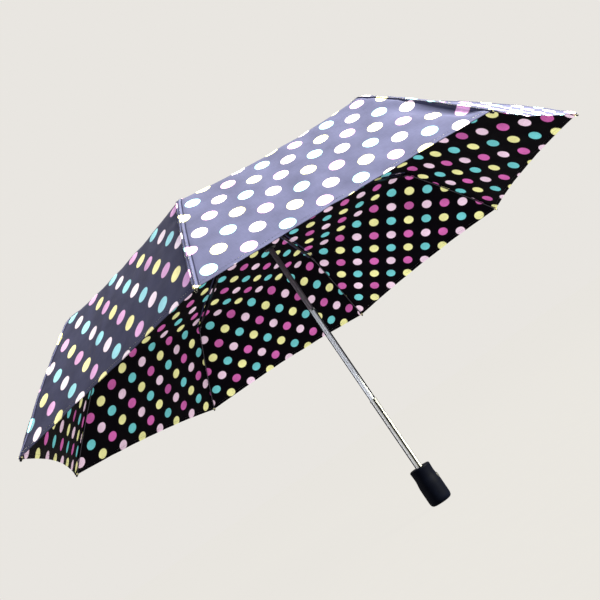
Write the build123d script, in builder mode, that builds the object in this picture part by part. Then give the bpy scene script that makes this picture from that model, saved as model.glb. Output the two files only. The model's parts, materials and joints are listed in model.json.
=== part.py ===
"""Children's three-fold umbrella, open, with the shaft upright.

Millimetres, +Z along the shaft towards the canopy. The origin is the centre of the flat
face under the handle. Each of the eight ribs has three links, which lie in the vertical
plane of their rib; the rib planes are the multiples of 45 degrees from +X.
"""
from build123d import *
import math
import os

# Canopy and ribs
RIB_COUNT = 8
RIM_RADIUS = 465.0          # rib tip from the shaft axis
RIM_Z = 338.0               # rib tips, with the shaft fully out
CROWN_PIVOT_RADIUS = 8.8    # hinge circle of the ribs in the top notch
CROWN_PIVOT_Z = 518.4
INNER_SLOPE = 9.6           # degrees that the two inner links fall outward
TOP_RIB_LENGTH = 172.0      # crown pivot to inner knee
MID_RIB_LENGTH = 150.0      # inner knee to outer knee
FABRIC_THICKNESS = 0.3
FABRIC_KNEE = (328.0, 470.5)      # outer face of the fabric over the outer knee
FABRIC_CROWN_Z = 525.9            # outer face of the fabric, carried in to the shaft axis
HEM_BULGE = 3.0                   # rise of the outer fabric arc above its chord
SCALLOP_DEPTH = 11.0              # how far the hem curves in between two rib tips
SEAM_GAP = 0.25                   # from a rib plane to the edge of each gore
CANOPY_HOLE_RADIUS = 6.0
CUT_MARGIN = 40.0           # how far the cutting shapes of a gore reach beyond it

# Rib sections and hinges
RIB_WIDTH = 2.8
RIB_DEPTH = 2.4
RIB_WALL = 0.5
TONGUE_WIDTH = 1.2
FORK_GAP = 0.15             # side play between tongue and fork
CHEEK_WIDTH = 0.7
EYE_RADIUS = 2.0
INNER_KNEE_EYE = 1.5        # smaller, so that it stays under the fabric
PIN_RADIUS = 0.6
PIN_PLAY = 0.06
KNEE_OFFSET_IN = 4.0        # inner knee pin above the link centre lines
KNEE_OFFSET_OUT = 0.6       # outer knee pin below the link centre line
KNUCKLE_LENGTH = 2.6        # pin to the end of the full rib section
CHANNEL_END = 3.0           # solid length at each end of a rib's channel
STIFFENER_AT = 0.54         # rivet along the middle rib, as a share of its length
WIRE_RADIUS = 0.9           # round wire of the end rib
WIRE_DROP = 2.5             # fabric outer face to wire centre
WIRE_SETBACK = 2.0          # outer knee line to the wire's end
SADDLE_LENGTH = 11.0        # part of the wire that the bracket holds
SADDLE_THICKNESS = 0.5
TIP_RADIUS = 1.5
TIP_LENGTH = 9.0
TIP_INSIDE = 0.75           # share of the tip cap that lies under the fabric

# Stretchers
STRETCHER_REACH = 85.0      # crown pivot to stretcher rivet, along the top rib
RUNNER_DROP = 55.0          # crown pivot to runner pivot, canopy open
PLATE_THICKNESS = 0.6
PLATE_GAP = 0.15            # between a side plate and the rib that it straddles
PLATE_DEPTH = 2.6
WEB_LIFT = RIB_DEPTH / 2 + 0.4    # web over the strut's centre line, clear of the rib
WEB_EARS = (10.0, 42.0)     # where the side plates rise to the web, from the runner pivot
WIRE_RING_RADIUS = 0.45
RING_HOLE_RADIUS = 0.85

# Shaft: radii and rest positions of the three tubes
TUBE_WALL = 0.4
LOWER_TUBE_RADIUS = 5.2
MIDDLE_TUBE_RADIUS = 4.7
TOP_TUBE_RADIUS = 4.15
LOWER_TUBE_BOTTOM = 9.0
LOWER_TUBE_TOP = 172.5
MIDDLE_TUBE_BOTTOM = 152.0
MIDDLE_TUBE_TOP = 333.0
TOP_TUBE_BOTTOM = 313.0
TOP_TUBE_TOP = 523.0
COLLAR_HEIGHT = 3.0
COLLAR_WALL = 0.45

# Handle
HANDLE_LENGTH = 57.0
HANDLE_RADIUS = 17.2
HANDLE_WAIST_RADIUS = 15.8
HANDLE_TOP_RADIUS = 16.2
GRIP_WALL = 2.6
BAND_BOTTOM = 9.0           # straight band of the grip
BAND_TOP = 27.0
WAIST_Z = 41.0
BUTTON_Z = 34.0
BUTTON_RADIUS = 4.6
BUTTON_PLAY = 0.3
BUTTON_STROKE = 2.5
BUTTON_FLANGE = 1.0         # the button's retaining flange beyond its face
BUTTON_FLANGE_THICKNESS = 1.2
BUTTON_FACE = HANDLE_RADIUS           # flush with the widest part of the grip
POCKET_FLOOR = 7.0          # button pocket in the core, from the shaft axis
POCKET_RADIUS = BUTTON_RADIUS + BUTTON_FLANGE + 0.6
SPRING_BACK = 7.4           # leaf spring behind the button, from the shaft axis
SPRING_FRONT = 10.0
SPRING_HALF_HEIGHT = 3.0
SPRING_WIDTH = 3.0
SPRING_HALF_THICKNESS = 0.25
GRIP_BORE = HANDLE_WAIST_RADIUS - GRIP_WALL
BASE_RADIUS = 12.5          # flat face under the grip
CAP_SEAT_RADIUS = 11.0      # opening for the end cap
CAP_SEAT_DEPTH = 5.0
THROAT_RADIUS = 8.0         # opening in the top of the grip
THROAT_DEPTH = 3.0
GRIP_ROUND = 2.5            # rounding of the grip's top edge

# Hubs, with a slot for each rib
HUB_RADIUS = 11.2           # top notch
NOTCH_BELOW = 5.4           # from the hinge circle to the underside of the notch
NOTCH_ABOVE = 3.4
NOTCH_SLOT_FLOOR = 6.6      # bottom of the slots, from the shaft axis
NOTCH_SLOT_TOP = EYE_RADIUS + 0.6     # top of the slots over the hinge circle
SLOT_PLAY = 0.5             # width of a slot beyond the link in it
RUNNER_RADIUS = 11.0
RUNNER_BORE = 5.95
RUNNER_BELOW = 4.4
RUNNER_ABOVE = 3.6
RUNNER_LENGTH = 22.6
RUNNER_SLOT_FLOOR = 6.75
RUNNER_SLOT_DEPTH = 3.0     # from the hinge circle to the bottom of the slots
RUNNER_NECK_RADIUS = 7.4
FLANGE_RADIUS = 9.6
FLANGE_HEIGHT = 3.0

# Cap over the crown
CAP_RADIUS = 10.5
CAP_SHOULDER_RADIUS = 8.8
CAP_KNOB_RADIUS = 4.2
CAP_HEIGHT = 13.3
STEM_DEPTH = 12.0
WASHER_RADIUS = 12.0
WASHER_THICKNESS = 0.8

SMALL = 0.02                # press fit, a hair of clearance
os.makedirs("parts", exist_ok=True)


def rib_plane(azimuth, shift=0.0):
    """Plane of a rib: local x is the radius, local y is the height."""
    a = math.radians(azimuth)
    across = Vector(math.sin(a), -math.cos(a), 0)
    return Plane(origin=across * shift, x_dir=(math.cos(a), math.sin(a), 0), z_dir=across)


def along(start, angle, distance, lift=0.0):
    """Point at a distance from start in the rib plane, lifted across the line."""
    a = math.radians(angle)
    return (
        start[0] + distance * math.cos(a) - lift * math.sin(a),
        start[1] + distance * math.sin(a) + lift * math.cos(a),
    )


def slope_of(start, end):
    return math.degrees(math.atan2(end[1] - start[1], end[0] - start[0]))


# Points of the mechanism, open, in the rib plane as (radius, height)
CROWN_PIVOT = (CROWN_PIVOT_RADIUS, CROWN_PIVOT_Z)
INNER_KNEE_LINE = along(CROWN_PIVOT, -INNER_SLOPE, TOP_RIB_LENGTH)
INNER_KNEE = along(CROWN_PIVOT, -INNER_SLOPE, TOP_RIB_LENGTH, KNEE_OFFSET_IN)
OUTER_KNEE_LINE = along(INNER_KNEE_LINE, -INNER_SLOPE, MID_RIB_LENGTH)
OUTER_KNEE = along(INNER_KNEE_LINE, -INNER_SLOPE, MID_RIB_LENGTH, -KNEE_OFFSET_OUT)
STRETCHER_RIVET = along(CROWN_PIVOT, -INNER_SLOPE, STRETCHER_REACH)
RUNNER_PIVOT = (CROWN_PIVOT_RADIUS, CROWN_PIVOT_Z - RUNNER_DROP)
STRETCHER_LENGTH = math.dist(RUNNER_PIVOT, STRETCHER_RIVET)
STRETCHER_ANGLE = slope_of(RUNNER_PIVOT, STRETCHER_RIVET)
FABRIC_RIM = (RIM_RADIUS, RIM_Z)


def rib_bar(start, angle, first, last):
    """Side view of a rib: a strip on the link's centre line."""
    centre = along(start, angle, (first + last) / 2)
    with Locations(centre):
        Rectangle(last - first, RIB_DEPTH, rotation=angle)


def eye_link(pin, line_point, angle, direction, eye):
    """Side view of a knuckle: a round eye and the neck that joins it to its rib."""
    neck = KNUCKLE_LENGTH + 0.6
    with Locations(pin):
        Circle(eye)
    tail = along(line_point, angle, direction * neck)
    with BuildLine() as side_view:
        Polyline(
            along(pin, angle, direction * eye * 0.6, eye * 0.5),
            along(tail, angle, direction, RIB_DEPTH * 0.5),
            along(tail, angle, direction, -RIB_DEPTH * 0.5),
            along(tail, angle, direction * -0.6, -RIB_DEPTH * 0.5),
            along(pin, angle, direction * eye * -0.8, -eye * 0.5),
            close=True,
        )
    make_face(side_view.edges())


def channel(azimuth, start, angle, first, last):
    """Rib of U section, open below, between two distances from start."""
    floor = along(start, 90 + angle, -RIB_WALL)
    with BuildPart() as rib:
        with BuildSketch(rib_plane(azimuth)):
            rib_bar(start, angle, first, last)
        extrude(amount=RIB_WIDTH / 2, both=True)
        with BuildSketch(rib_plane(azimuth)):
            rib_bar(floor, angle, first + CHANNEL_END, last - CHANNEL_END)
        extrude(amount=RIB_WIDTH / 2 - RIB_WALL, both=True, mode=Mode.SUBTRACT)
    return rib.part


def tongue(azimuth, pin, line_point, angle, direction, eye=EYE_RADIUS):
    """Centre eye of a knee hinge."""
    with BuildPart() as centre_eye:
        with BuildSketch(rib_plane(azimuth)):
            eye_link(pin, line_point, angle, direction, eye)
            with Locations(pin):
                Circle(PIN_RADIUS + PIN_PLAY, mode=Mode.SUBTRACT)
        extrude(amount=TONGUE_WIDTH / 2, both=True)
    return centre_eye.part


def fork(azimuth, pin, line_point, angle, direction, eye=EYE_RADIUS):
    """Two outer eyes of a knee hinge."""
    inner_face = TONGUE_WIDTH / 2 + FORK_GAP
    with BuildPart() as cheeks:
        for side in (1, -1):
            with BuildSketch(rib_plane(azimuth, side * (inner_face + CHEEK_WIDTH / 2))):
                eye_link(pin, line_point, angle, direction, eye)
                with Locations(pin):
                    Circle(PIN_RADIUS + SMALL, mode=Mode.SUBTRACT)
            extrude(amount=CHEEK_WIDTH / 2, both=True)
    return cheeks.part


def cross_pin(azimuth, centre, radius, length):
    """Hinge pin or rivet across the rib plane."""
    with BuildPart() as pin:
        with BuildSketch(rib_plane(azimuth)):
            with Locations(centre):
                Circle(radius)
        extrude(amount=length / 2, both=True)
    return pin.part


def crown_eye(azimuth):
    """Inner end of a top rib, bored for the wire ring of the top notch."""
    with BuildPart() as eye:
        with BuildSketch(rib_plane(azimuth)):
            with Locations(CROWN_PIVOT):
                Circle(EYE_RADIUS)
            rib_bar(CROWN_PIVOT, -INNER_SLOPE, 0, 5)
            with Locations(CROWN_PIVOT):
                Circle(RING_HOLE_RADIUS, mode=Mode.SUBTRACT)
        extrude(amount=RIB_WIDTH / 2, both=True)
    return eye.part


FORK_WIDTH = TONGUE_WIDTH + 2 * (FORK_GAP + CHEEK_WIDTH)


def make_top_rib(azimuth):
    """Inner link, from the top notch to the inner knee, with its stretcher rivet."""
    last = TOP_RIB_LENGTH - KNUCKLE_LENGTH
    with BuildPart() as rib:
        add(channel(azimuth, CROWN_PIVOT, -INNER_SLOPE, 4.0, last))
        add(crown_eye(azimuth))
        add(tongue(azimuth, INNER_KNEE, INNER_KNEE_LINE, -INNER_SLOPE, -1, INNER_KNEE_EYE))
        with BuildSketch(rib_plane(azimuth)):
            with Locations(STRETCHER_RIVET):
                Circle(PIN_RADIUS + SMALL)
        extrude(amount=RIB_WIDTH, both=True, mode=Mode.SUBTRACT)
    rivet = cross_pin(azimuth, STRETCHER_RIVET, PIN_RADIUS, RIB_WIDTH)
    return Compound(children=[*rib.part.solids(), *rivet.solids()])


def make_mid_rib(azimuth):
    """Middle link, between the two knees, with the inner knee pin."""
    first = KNUCKLE_LENGTH
    last = MID_RIB_LENGTH - KNUCKLE_LENGTH
    stiffener = along(INNER_KNEE_LINE, -INNER_SLOPE, MID_RIB_LENGTH * STIFFENER_AT)
    with BuildPart() as rib:
        add(channel(azimuth, INNER_KNEE_LINE, -INNER_SLOPE, first, last))
        add(fork(azimuth, INNER_KNEE, INNER_KNEE_LINE, -INNER_SLOPE, 1, INNER_KNEE_EYE))
        add(tongue(azimuth, OUTER_KNEE, OUTER_KNEE_LINE, -INNER_SLOPE, -1))
        with BuildSketch(rib_plane(azimuth)):
            with Locations(stiffener):
                Circle(PIN_RADIUS + SMALL)
        extrude(amount=RIB_WIDTH, both=True, mode=Mode.SUBTRACT)
    pin = cross_pin(azimuth, INNER_KNEE, PIN_RADIUS, FORK_WIDTH)
    rivet = cross_pin(azimuth, stiffener, PIN_RADIUS, RIB_WIDTH + 0.5)
    return Compound(children=[*rib.part.solids(), *pin.solids(), *rivet.solids()])


def fabric_arc_centre(knee, rim, bulge):
    """Centre and radius of the arc through knee and rim that rises by bulge between them."""
    chord = math.dist(knee, rim)
    radius = chord**2 / (8 * bulge) + bulge / 2
    middle = ((knee[0] + rim[0]) / 2, (knee[1] + rim[1]) / 2)
    return along(middle, slope_of(knee, rim), 0, bulge - radius), radius


ARC_CENTRE, ARC_RADIUS = fabric_arc_centre(FABRIC_KNEE, FABRIC_RIM, HEM_BULGE)
ARC_START = slope_of(ARC_CENTRE, FABRIC_KNEE)
ARC_END = slope_of(ARC_CENTRE, FABRIC_RIM)
TIP_TURN = math.degrees(TIP_LENGTH / ARC_RADIUS)


def on_arc(angle, drop):
    """Point under the outer fabric arc, at an angle about the arc's centre."""
    return along(ARC_CENTRE, angle, ARC_RADIUS - drop)


def end_wire(azimuth, first, last, radius):
    """Round wire that follows the fabric arc between two angles about the arc's centre."""
    plane = rib_plane(azimuth)
    ends = [on_arc(angle, WIRE_DROP) for angle in (first, (first + last) / 2, last)]
    start = plane.from_local_coords(Vector(*ends[0]))
    spoke = start - plane.from_local_coords(Vector(*ARC_CENTRE))
    with BuildPart() as wire:
        with BuildLine(plane):
            ThreePointArc(*ends)
        with BuildSketch(Plane(start, z_dir=plane.z_dir.cross(spoke))):
            Circle(radius)
        sweep()
    return wire.part


def make_end_rib(azimuth):
    """Outer link: a stamped bracket at the outer knee, a bent round wire and a tip cap."""
    wire_start = ARC_START - math.degrees(WIRE_SETBACK / ARC_RADIUS)
    wire_end = ARC_END + TIP_TURN * TIP_INSIDE
    start = on_arc(wire_start, WIRE_DROP)
    end = on_arc(wire_end, WIRE_DROP)
    slope = slope_of(start, on_arc(wire_start - 2, WIRE_DROP))
    top = WIRE_RADIUS + SADDLE_THICKNESS
    inner_face = TONGUE_WIDTH / 2 + FORK_GAP
    with BuildPart() as bracket:
        for side in (1, -1):
            with BuildSketch(rib_plane(azimuth, side * (inner_face + CHEEK_WIDTH / 2))):
                with Locations(OUTER_KNEE):
                    Circle(EYE_RADIUS)
                with BuildLine():
                    Polyline(
                        along(OUTER_KNEE, slope, -0.6, EYE_RADIUS * 0.9),
                        along(start, slope, 0, top),
                        along(start, slope, SADDLE_LENGTH, top),
                        along(start, slope, SADDLE_LENGTH, -WIRE_RADIUS),
                        along(OUTER_KNEE, slope, EYE_RADIUS * 0.6, EYE_RADIUS * 0.7),
                        close=True,
                    )
                make_face()
                with Locations(OUTER_KNEE):
                    Circle(PIN_RADIUS + SMALL, mode=Mode.SUBTRACT)
            extrude(amount=CHEEK_WIDTH / 2, both=True)
        with BuildSketch(rib_plane(azimuth)):
            with Locations(along(start, slope, SADDLE_LENGTH / 2 + 1, top - SADDLE_THICKNESS / 2)):
                Rectangle(SADDLE_LENGTH - 2, SADDLE_THICKNESS, rotation=slope)
        extrude(amount=inner_face + CHEEK_WIDTH, both=True)
        add(end_wire(azimuth, wire_start, wire_end, WIRE_RADIUS + SMALL), mode=Mode.SUBTRACT)
    wire = end_wire(azimuth, wire_start, wire_end, WIRE_RADIUS)
    cap_plane = rib_plane(azimuth)
    cap_angle = wire_end - 90
    with BuildPart() as tip:
        with BuildSketch(cap_plane):
            with BuildLine():
                base = along(end, cap_angle, SMALL)
                neck = along(base, cap_angle, 0, TIP_RADIUS)
                shoulder = along(base, cap_angle, TIP_LENGTH - TIP_RADIUS, TIP_RADIUS)
                nose = along(base, cap_angle, TIP_LENGTH)
                Polyline(base, neck, shoulder)
                RadiusArc(shoulder, nose, TIP_RADIUS)
                Line(nose, base)
            make_face()
        spin = Axis(
            cap_plane.from_local_coords(Vector(*base)),
            cap_plane.from_local_coords(Vector(*nose)) - cap_plane.from_local_coords(Vector(*base)),
        )
        revolve(axis=spin)
    pin = cross_pin(azimuth, OUTER_KNEE, PIN_RADIUS, FORK_WIDTH)
    pieces = [*bracket.part.solids(), *wire.solids(), *tip.part.solids(), *pin.solids()]
    return Compound(children=pieces)


def make_stretcher(azimuth):
    """Strut from the runner to the top rib: two side plates joined near the runner."""
    plate_middle = RIB_WIDTH / 2 + PLATE_GAP + PLATE_THICKNESS / 2
    centre = along(RUNNER_PIVOT, STRETCHER_ANGLE, STRETCHER_LENGTH / 2)
    with BuildPart() as strut:
        for side in (1, -1):
            with BuildSketch(rib_plane(azimuth, side * plate_middle)):
                with Locations(centre):
                    Rectangle(STRETCHER_LENGTH, PLATE_DEPTH * 0.8, rotation=STRETCHER_ANGLE)
                with Locations(RUNNER_PIVOT, STRETCHER_RIVET):
                    Circle(PLATE_DEPTH * 0.65)
                for ear in WEB_EARS:
                    with Locations(along(RUNNER_PIVOT, STRETCHER_ANGLE, ear, WEB_LIFT - 0.2)):
                        Rectangle(3, 0.8, rotation=STRETCHER_ANGLE)
                with Locations(RUNNER_PIVOT):
                    Circle(RING_HOLE_RADIUS, mode=Mode.SUBTRACT)
                with Locations(STRETCHER_RIVET):
                    Circle(PIN_RADIUS + PIN_PLAY, mode=Mode.SUBTRACT)
            extrude(amount=PLATE_THICKNESS / 2, both=True)
        web = along(RUNNER_PIVOT, STRETCHER_ANGLE, sum(WEB_EARS) / 2, WEB_LIFT)
        with BuildSketch(rib_plane(azimuth)):
            with Locations(web):
                Rectangle(WEB_EARS[1] - WEB_EARS[0] + 4, 0.4, rotation=STRETCHER_ANGLE)
        extrude(amount=plate_middle + PLATE_THICKNESS / 2, both=True)
    return strut.part


def fabric_outline(scale):
    """Cross-section of the fabric: the rib plane's profile, narrowed to the gore's middle."""
    def place(point):
        return (point[0] * scale, point[1])

    def inside(point):
        return (point[0] * scale, point[1] - FABRIC_THICKNESS)

    crown = (0.0, FABRIC_CROWN_Z)
    middle = on_arc((ARC_START + ARC_END) / 2, 0)
    under_rim = (RIM_RADIUS - FABRIC_THICKNESS, RIM_Z - 0.2)
    under_middle = on_arc((ARC_START + ARC_END) / 2, FABRIC_THICKNESS)
    with BuildLine() as outline:
        Polyline(place(crown), place(FABRIC_KNEE))
        ThreePointArc(place(FABRIC_KNEE), place(middle), place(FABRIC_RIM))
        Polyline(place(FABRIC_RIM), place(under_rim))
        ThreePointArc(place(under_rim), place(under_middle), inside(FABRIC_KNEE))
        Polyline(inside(FABRIC_KNEE), inside(crown), place(crown))
    make_face(outline.edges())


def make_gore(azimuth):
    """One panel of the canopy, between the rib at azimuth and the next one."""
    half = 180 / RIB_COUNT
    middle = azimuth + half
    reach = RIM_RADIUS * 1.2
    chord_half = RIM_RADIUS * math.sin(math.radians(half))
    scallop_radius = chord_half**2 / (2 * SCALLOP_DEPTH) + SCALLOP_DEPTH / 2
    hem_plane = rib_plane(middle)
    rim_middle = (RIM_RADIUS * math.cos(math.radians(half)), RIM_Z)
    hem_origin = hem_plane.from_local_coords(Vector(*rim_middle))
    fall = ARC_END - 90
    down = hem_plane.from_local_coords(Vector(*along(rim_middle, fall, 1))) - hem_origin
    with BuildPart() as gore:
        with BuildSketch(rib_plane(middle)):
            fabric_outline(math.cos(math.radians(half)))
        extrude(amount=reach * math.tan(math.radians(half)), both=True)
        with BuildSketch(Plane.XY.offset(RIM_Z - CUT_MARGIN)):
            inset = SEAM_GAP / math.sin(math.radians(half))
            start = along((0, 0), middle, inset)
            with BuildLine():
                Polyline(
                    start, along(start, azimuth, reach), along(start, azimuth + 2 * half, reach),
                    close=True,
                )
            make_face()
        extrude(amount=FABRIC_CROWN_Z - RIM_Z + 2 * CUT_MARGIN, mode=Mode.INTERSECT)
        with BuildSketch(Plane.XY.offset(RIM_Z)):
            Circle(CANOPY_HOLE_RADIUS)
        extrude(amount=FABRIC_CROWN_Z, mode=Mode.SUBTRACT)
        with BuildSketch(Plane(hem_origin, x_dir=hem_plane.z_dir, z_dir=hem_plane.z_dir.cross(down))):
            with Locations((0, scallop_radius - SCALLOP_DEPTH)):
                Circle(scallop_radius)
        extrude(amount=CUT_MARGIN * 0.6, both=True, mode=Mode.SUBTRACT)
    return gore.part


def ring_of(radius_out, radius_in, bottom, height):
    """Plain round sleeve on the shaft axis."""
    with BuildPart() as ring:
        with BuildSketch(Plane.XY.offset(bottom)):
            Circle(radius_out)
            Circle(radius_in, mode=Mode.SUBTRACT)
        extrude(amount=height)
    return ring.part


def make_tube(radius, bottom, top):
    """Thin steel tube of the shaft."""
    return ring_of(radius, radius - TUBE_WALL, bottom, top - bottom)


def make_collar(radius, top):
    """Rolled lip that finishes the open end of an outer tube."""
    with BuildPart() as collar:
        add(ring_of(radius + COLLAR_WALL, radius + SMALL, top - COLLAR_HEIGHT, COLLAR_HEIGHT))
        fillet(collar.edges().filter_by(GeomType.CIRCLE).group_by(Axis.Z)[-1].sort_by(
            SortBy.RADIUS)[-1], COLLAR_WALL * 0.6)
    return collar.part


def slotted_hub(bottom, top, outer, bore, slot_floor, slot_width, slot_bottom, slot_top, ring_z):
    """Hub with one radial slot for each rib and a round groove for the wire ring."""
    with BuildPart() as hub:
        with BuildSketch(Plane.XY.offset(bottom)):
            Circle(outer)
            Circle(bore, mode=Mode.SUBTRACT)
        extrude(amount=top - bottom)
        with BuildSketch(Plane.XY.offset(slot_bottom)):
            with PolarLocations((slot_floor + outer + 2) / 2, RIB_COUNT):
                Rectangle(outer + 2 - slot_floor, slot_width)
        extrude(amount=slot_top - slot_bottom, mode=Mode.SUBTRACT)
        with BuildSketch(Plane.XZ):
            with Locations((CROWN_PIVOT_RADIUS, ring_z)):
                Circle(WIRE_RING_RADIUS + SMALL)
        revolve(axis=Axis.Z, mode=Mode.SUBTRACT)
    return hub.part


def make_wire_ring(z):
    """Wire that threads the eyes of all the links on a hub."""
    with BuildPart() as ring:
        with BuildSketch(Plane.XZ):
            with Locations((CROWN_PIVOT_RADIUS, z)):
                Circle(WIRE_RING_RADIUS)
        revolve(axis=Axis.Z)
    return ring.part


def make_top_notch():
    """Slotted plastic hub that holds the top ribs and the end of the shaft."""
    bottom = CROWN_PIVOT_Z - NOTCH_BELOW
    return slotted_hub(
        bottom=bottom, top=CROWN_PIVOT_Z + NOTCH_ABOVE, outer=HUB_RADIUS,
        bore=TOP_TUBE_RADIUS + SMALL, slot_floor=NOTCH_SLOT_FLOOR, slot_width=RIB_WIDTH + SLOT_PLAY,
        slot_bottom=bottom - 1, slot_top=CROWN_PIVOT_Z + NOTCH_SLOT_TOP, ring_z=CROWN_PIVOT_Z,
    )


RUNNER_SLOT = RIB_WIDTH + 2 * (PLATE_GAP + PLATE_THICKNESS) + SLOT_PLAY


def make_runner():
    """Slider with a slotted crown, a neck and a flared finger flange."""
    pivot_z = RUNNER_PIVOT[1]
    top = pivot_z + RUNNER_ABOVE
    bottom = top - RUNNER_LENGTH
    with BuildPart() as runner:
        add(slotted_hub(
            bottom=pivot_z - RUNNER_BELOW, top=top, outer=RUNNER_RADIUS, bore=RUNNER_BORE,
            slot_floor=RUNNER_SLOT_FLOOR, slot_width=RUNNER_SLOT,
            slot_bottom=pivot_z - RUNNER_SLOT_DEPTH, slot_top=top + 1, ring_z=pivot_z,
        ))
        neck_length = pivot_z - RUNNER_BELOW - bottom + 0.4
        add(ring_of(RUNNER_NECK_RADIUS, RUNNER_BORE, bottom, neck_length))
        add(ring_of(FLANGE_RADIUS, RUNNER_BORE, bottom, FLANGE_HEIGHT))
        fillet(runner.edges().filter_by(GeomType.CIRCLE).group_by(Axis.Z)[0].sort_by(
            SortBy.RADIUS)[-1], 1.2)
    return runner.part


WASHER_Z = FABRIC_CROWN_Z + 0.3
CAP_Z = WASHER_Z + WASHER_THICKNESS + 0.3


def make_crown_washer():
    """Thin washer between the fabric and the ferrule cap."""
    return ring_of(WASHER_RADIUS, CANOPY_HOLE_RADIUS + 0.35, WASHER_Z, WASHER_THICKNESS)


def make_ferrule_cap():
    """Rounded plastic cap that clamps the fabric onto the top of the shaft."""
    shoulder = (5.0, CAP_Z + 7.4)
    neck = (CAP_KNOB_RADIUS, CAP_Z + 10.5)
    knob = (1.6, CAP_Z + CAP_HEIGHT)
    with BuildPart() as cap:
        with BuildSketch(Plane.XZ):
            with BuildLine():
                Polyline((0, CAP_Z), (CAP_RADIUS, CAP_Z), (CAP_RADIUS, CAP_Z + 2.0))
                ThreePointArc((CAP_RADIUS, CAP_Z + 2.0), (CAP_SHOULDER_RADIUS, CAP_Z + 5.6), shoulder)
                Line(shoulder, neck)
                ThreePointArc(neck, (CAP_KNOB_RADIUS - 0.8, CAP_Z + 12.5), knob)
                Polyline(knob, (0, CAP_Z + CAP_HEIGHT), (0, CAP_Z))
            make_face()
        revolve(axis=Axis.Z)
    return cap.part


def make_ferrule_stem():
    """Threaded stem of the cap, pressed into the top tube."""
    bottom = TOP_TUBE_TOP - STEM_DEPTH
    with BuildPart() as stem:
        with BuildSketch(Plane.XY.offset(bottom)):
            Circle(TOP_TUBE_RADIUS - TUBE_WALL - SMALL)
        extrude(amount=CAP_Z - SMALL - bottom)
    return stem.part


def make_handle_grip():
    """Soft rubber-coated outer shell of the handle."""
    top_edge = (HANDLE_TOP_RADIUS, HANDLE_LENGTH - GRIP_ROUND)
    shoulder = (HANDLE_TOP_RADIUS - GRIP_ROUND, HANDLE_LENGTH)
    throat_z = HANDLE_LENGTH - THROAT_DEPTH
    with BuildPart() as grip:
        with BuildSketch(Plane.XZ):
            with BuildLine():
                Line((CAP_SEAT_RADIUS, 0), (BASE_RADIUS, 0))
                Spline((BASE_RADIUS, 0), (HANDLE_RADIUS, BAND_BOTTOM), tangents=((1, 0.12), (0, 1)))
                Line((HANDLE_RADIUS, BAND_BOTTOM), (HANDLE_RADIUS, BAND_TOP))
                Spline(
                    (HANDLE_RADIUS, BAND_TOP), (HANDLE_WAIST_RADIUS, WAIST_Z), top_edge,
                    tangents=((0, 1), (0.08, 1)),
                )
                RadiusArc(top_edge, shoulder, -GRIP_ROUND)
                Polyline(
                    shoulder, (THROAT_RADIUS, HANDLE_LENGTH), (THROAT_RADIUS, throat_z),
                    (GRIP_BORE, throat_z), (GRIP_BORE, CAP_SEAT_DEPTH),
                    (CAP_SEAT_RADIUS, CAP_SEAT_DEPTH), (CAP_SEAT_RADIUS, 0),
                )
            make_face()
        revolve(axis=Axis.Z)
        with BuildSketch(Plane.YZ):
            with Locations((0, BUTTON_Z)):
                Circle(BUTTON_RADIUS + BUTTON_PLAY)
        extrude(amount=HANDLE_RADIUS + 5, mode=Mode.SUBTRACT)
    return grip.part


def make_handle_core():
    """Plastic core that grips the lower tube and holds the button in its pocket."""
    bore = LOWER_TUBE_RADIUS + SMALL
    bottom = CAP_SEAT_DEPTH + 0.6
    shoulder = HANDLE_LENGTH - THROAT_DEPTH - 0.6
    with BuildPart() as core:
        add(ring_of(GRIP_BORE - 0.3, bore, bottom, shoulder - bottom))
        add(ring_of(THROAT_RADIUS - 0.4, bore, shoulder, THROAT_DEPTH))
        with BuildSketch(Plane.YZ.offset(POCKET_FLOOR)):
            with Locations((0, BUTTON_Z)):
                Circle(POCKET_RADIUS)
        extrude(amount=HANDLE_RADIUS, mode=Mode.SUBTRACT)
    return core.part


def make_push_button():
    """Release button with a retaining flange inside the grip."""
    flange_radius = BUTTON_RADIUS + BUTTON_FLANGE
    flange_front = math.sqrt(GRIP_BORE**2 - flange_radius**2) - 0.3
    with BuildPart() as button:
        with BuildSketch(Plane.YZ.offset(flange_front - 0.05)):
            with Locations((0, BUTTON_Z)):
                Circle(BUTTON_RADIUS)
        extrude(amount=BUTTON_FACE - flange_front + 0.05)
        fillet(button.faces().sort_by(Axis.X)[-1].edges(), 0.8)
        with BuildSketch(Plane.YZ.offset(flange_front - BUTTON_FLANGE_THICKNESS)):
            with Locations((0, BUTTON_Z)):
                Circle(flange_radius)
        extrude(amount=BUTTON_FLANGE_THICKNESS)
    return button.part


def make_button_spring():
    """Bent leaf spring behind the button."""
    with BuildPart() as leaf:
        with BuildSketch(Plane.XZ):
            with BuildLine():
                Polyline(
                    (SPRING_FRONT, BUTTON_Z - SPRING_HALF_HEIGHT),
                    (SPRING_BACK, BUTTON_Z),
                    (SPRING_FRONT, BUTTON_Z + SPRING_HALF_HEIGHT),
                )
                offset(amount=SPRING_HALF_THICKNESS)
            make_face()
        extrude(amount=SPRING_WIDTH / 2, both=True)
    return leaf.part


def make_handle_end_cap():
    """Plug that closes the bottom of the handle and carries its flat face."""
    with BuildPart() as plug:
        with BuildSketch(Plane.XY):
            Circle(CAP_SEAT_RADIUS - 0.1)
        extrude(amount=CAP_SEAT_DEPTH + 0.4)
        fillet(plug.edges().group_by(Axis.Z)[0], 0.4)
    return plug.part


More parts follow.
